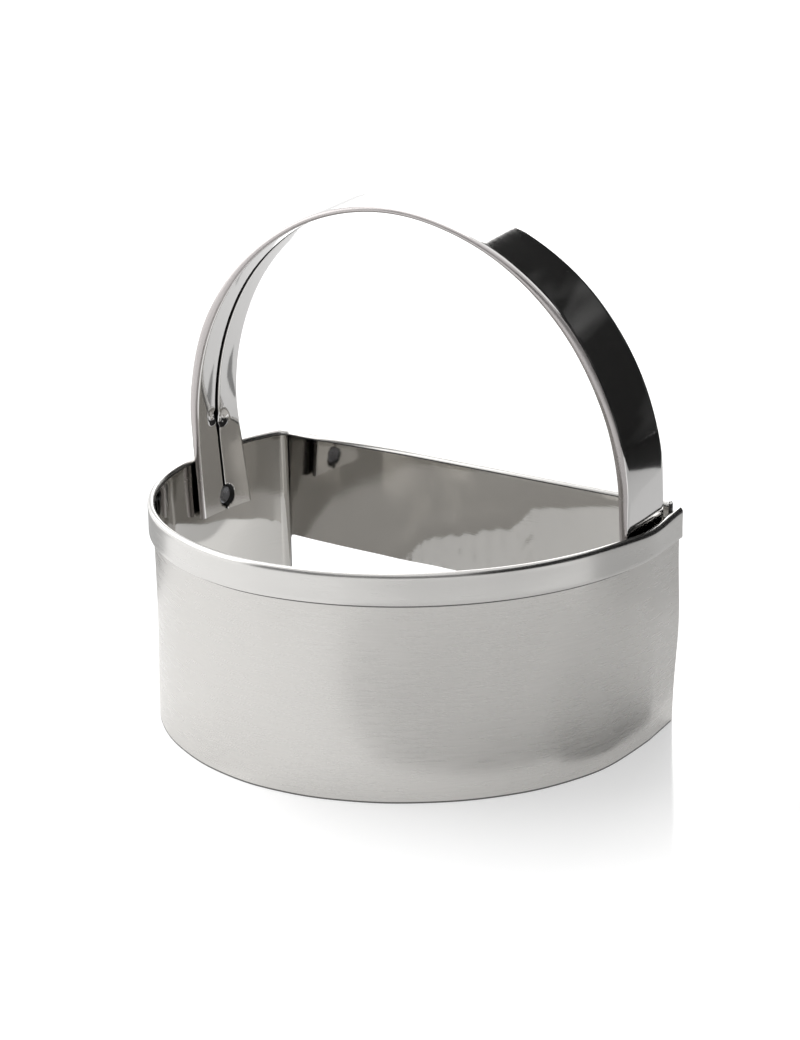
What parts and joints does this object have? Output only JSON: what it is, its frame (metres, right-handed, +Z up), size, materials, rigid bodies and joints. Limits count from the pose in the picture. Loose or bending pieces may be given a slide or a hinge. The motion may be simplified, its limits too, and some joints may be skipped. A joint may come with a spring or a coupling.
{
  "type": "rissole cutter",
  "caption": "Half-moon pastry cutter of thin steel sheet with a hemmed top edge, a half-height back wall and an arched strap handle.",
  "frame": {"origin": "bottom centre of the bounding box, on the plane of the cutting edge", "axes": "+X to the right along the straight back wall, +Y from the curved front to the straight back, +Z up"},
  "size_m": [0.102, 0.0704, 0.1005],
  "materials": {
    "wall_steel": "satin stainless sheet, smoother on the inside",
    "strap_steel": "bright stainless strip",
    "weld_steel": "dull grey spot-weld nugget"
  },
  "bodies": {
    "root": {"cutter_wall": "wall_steel", "handle_strap": "strap_steel", "left_leg_weld": "weld_steel", "right_leg_weld": "weld_steel", "lap_welds": "weld_steel"}
  },
  "joints": []
}
